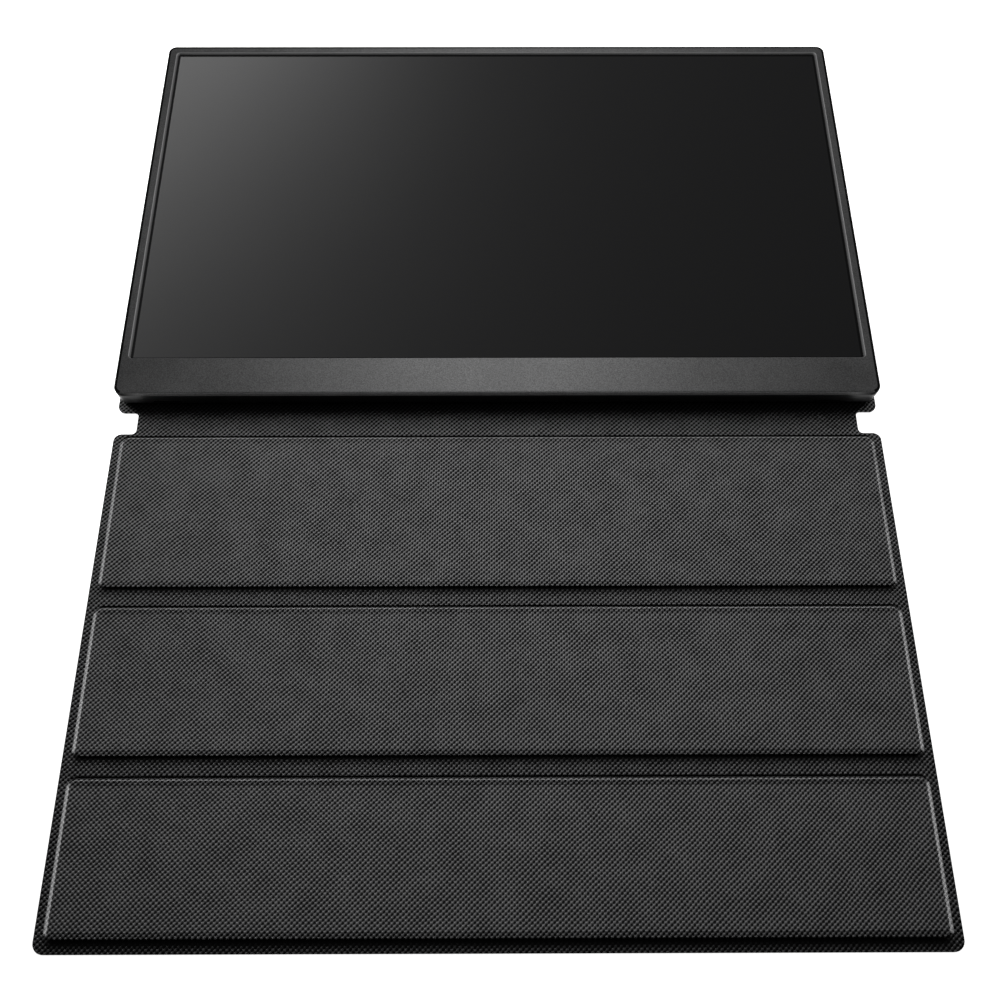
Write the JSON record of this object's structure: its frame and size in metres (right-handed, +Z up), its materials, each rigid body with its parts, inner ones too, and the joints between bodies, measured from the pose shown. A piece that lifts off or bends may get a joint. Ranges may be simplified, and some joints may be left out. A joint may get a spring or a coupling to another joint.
{
  "type": "portable monitor with folding cover",
  "caption": "Slim portable monitor lying face up on its opened folding cover: magnetic back with a prop fold, notched spine, stiff flap panels with grooves, sockets, keys and speakers.",
  "frame": {"origin": "bottom centre of the whole opened part, on the surface that the cover lies on", "axes": "+X to the right of a person facing the screen, +Y from the flap towards the top of the screen, +Z up out of the screen"},
  "size_m": [0.357, 0.4648, 0.0126],
  "materials": {
    "cover_fabric": "woven black fabric with a cross-hatched grain",
    "cover_lining": "woven black fabric with a cross-hatched grain",
    "cover_board": "plain stiffening board",
    "magnet": "nickel plated",
    "frame_metal": "fine sand-blasted dark grey",
    "gasket_foam": "matt black foam",
    "screen_glass": "dark satin screen surface",
    "film": "milky film",
    "guide_acrylic": "clear acrylic",
    "reflector_film": "white film",
    "led_strip": "yellow phosphor LEDs on a white strip",
    "tray_metal": "plain sheet",
    "circuit_board": "green solder mask",
    "flex_film": "amber polyimide",
    "flat_cable": "grey ribbon",
    "tin_shield": "tin plated",
    "socket_steel": "drawn steel",
    "jack_plastic": "black",
    "screw_steel": "plated",
    "bracket_plastic": "black",
    "key_plastic": "fine matt dark grey",
    "speaker_box": "black",
    "mesh_steel": "blackened perforated strip",
    "lead_wire": "insulated wire",
    "plate_steel": "plain steel",
    "shell_metal": "dark anodised, fine grain"
  },
  "bodies": {
    "back": {"outer_fabric_back": "cover_fabric", "back_board": "cover_board", "lining_back": "cover_lining", "back_magnets": "magnet", "back_fold": "cover_fabric"},
    "prop": {"outer_fabric_prop": "cover_fabric", "prop_board": "cover_board", "lining_prop": "cover_lining", "rear_crease": "cover_fabric"},
    "spine": {"outer_fabric_spine": "cover_fabric", "lining_spine": "cover_lining", "front_crease": "cover_fabric"},
    "panel_1": {"outer_fabric_panel_1": "cover_fabric", "board_panel_1": "cover_board", "lining_panel_1": "cover_lining", "groove_fold_1": "cover_fabric"},
    "panel_2": {"outer_fabric_panel_2": "cover_fabric", "board_panel_2": "cover_board", "lining_panel_2": "cover_lining", "groove_fold_2": "cover_fabric"},
    "panel_3": {"outer_fabric_panel_3": "cover_fabric", "board_panel_3": "cover_board", "lining_panel_3": "cover_lining", "panel_3_magnets": "magnet"},
    "monitor": {"front_frame": "frame_metal", "screen_gasket": "gasket_foam", "lcd_cell": "screen_glass", "optical_films": "film", "light_guide": "guide_acrylic", "reflector_sheet": "reflector_film", "led_bar": "led_strip", "backlight_tray": "tray_metal", "driver_board": "circuit_board", "cell_flexes": "flex_film", "display_cable": "flat_cable", "main_board": "circuit_board", "board_shield": "tin_shield", "usb_c_sockets": "socket_steel", "mini_hdmi_socket": "socket_steel", "audio_jack": "jack_plastic", "board_screws": "screw_steel", "button_board": "circuit_board", "button_bracket": "bracket_plastic", "button_cable": "flat_cable", "speaker_left": "speaker_box", "speaker_right": "speaker_box", "speaker_meshes": "mesh_steel", "speaker_leads": "lead_wire", "steel_plates": "plate_steel", "top_edge_magnets": "magnet", "rear_shell": "shell_metal"},
    "power_key": {"power_button": "key_plastic"},
    "menu_key": {"menu_rocker": "key_plastic"}
  },
  "joints": [
    {"name": "monitor_off_magnets", "type": "slide", "parent": "back", "child": "monitor", "axis": [0, 1, 0], "range_m": [0, 0.22]},
    {"name": "prop_fold", "type": "hinge", "parent": "back", "child": "prop", "pos_m": [0, 0.13712, 0.0006], "axis": [-1, 0, 0], "range_deg": [-82, 0], "deforming": ["back_fold"]},
    {"name": "rear_spine_fold", "type": "hinge", "parent": "prop", "child": "spine", "pos_m": [0, 0.00713, 0.0006], "axis": [-1, 0, 0], "range_deg": [-90, 90], "deforming": ["rear_crease"]},
    {"name": "front_spine_fold", "type": "hinge", "parent": "spine", "child": "panel_1", "pos_m": [0, -0.00713, 0.0006], "axis": [-1, 0, 0], "range_deg": [-90, 90], "deforming": ["front_crease"]},
    {"name": "groove_1_fold", "type": "hinge", "parent": "panel_1", "child": "panel_2", "pos_m": [0, -0.08743, 0.0006], "axis": [1, 0, 0], "range_deg": [-135, 0], "deforming": ["groove_fold_1"]},
    {"name": "groove_2_fold", "type": "hinge", "parent": "panel_2", "child": "panel_3", "pos_m": [0, -0.16148, 0.0006], "axis": [1, 0, 0], "range_deg": [-90, 0], "deforming": ["groove_fold_2"]},
    {"name": "power_press", "type": "slide", "parent": "monitor", "child": "power_key", "axis": [-1, 0, 0], "range_m": [0, 0.0004], "stiffness_N_per_m": 3000},
    {"name": "menu_tilt", "type": "hinge", "parent": "monitor", "child": "menu_key", "pos_m": [0.17405, 0.08983, 0.00625], "axis": [0, 0, 1], "range_deg": [-2.5, 2.5], "stiffness_Nm_per_rad": 0.27}
  ]
}
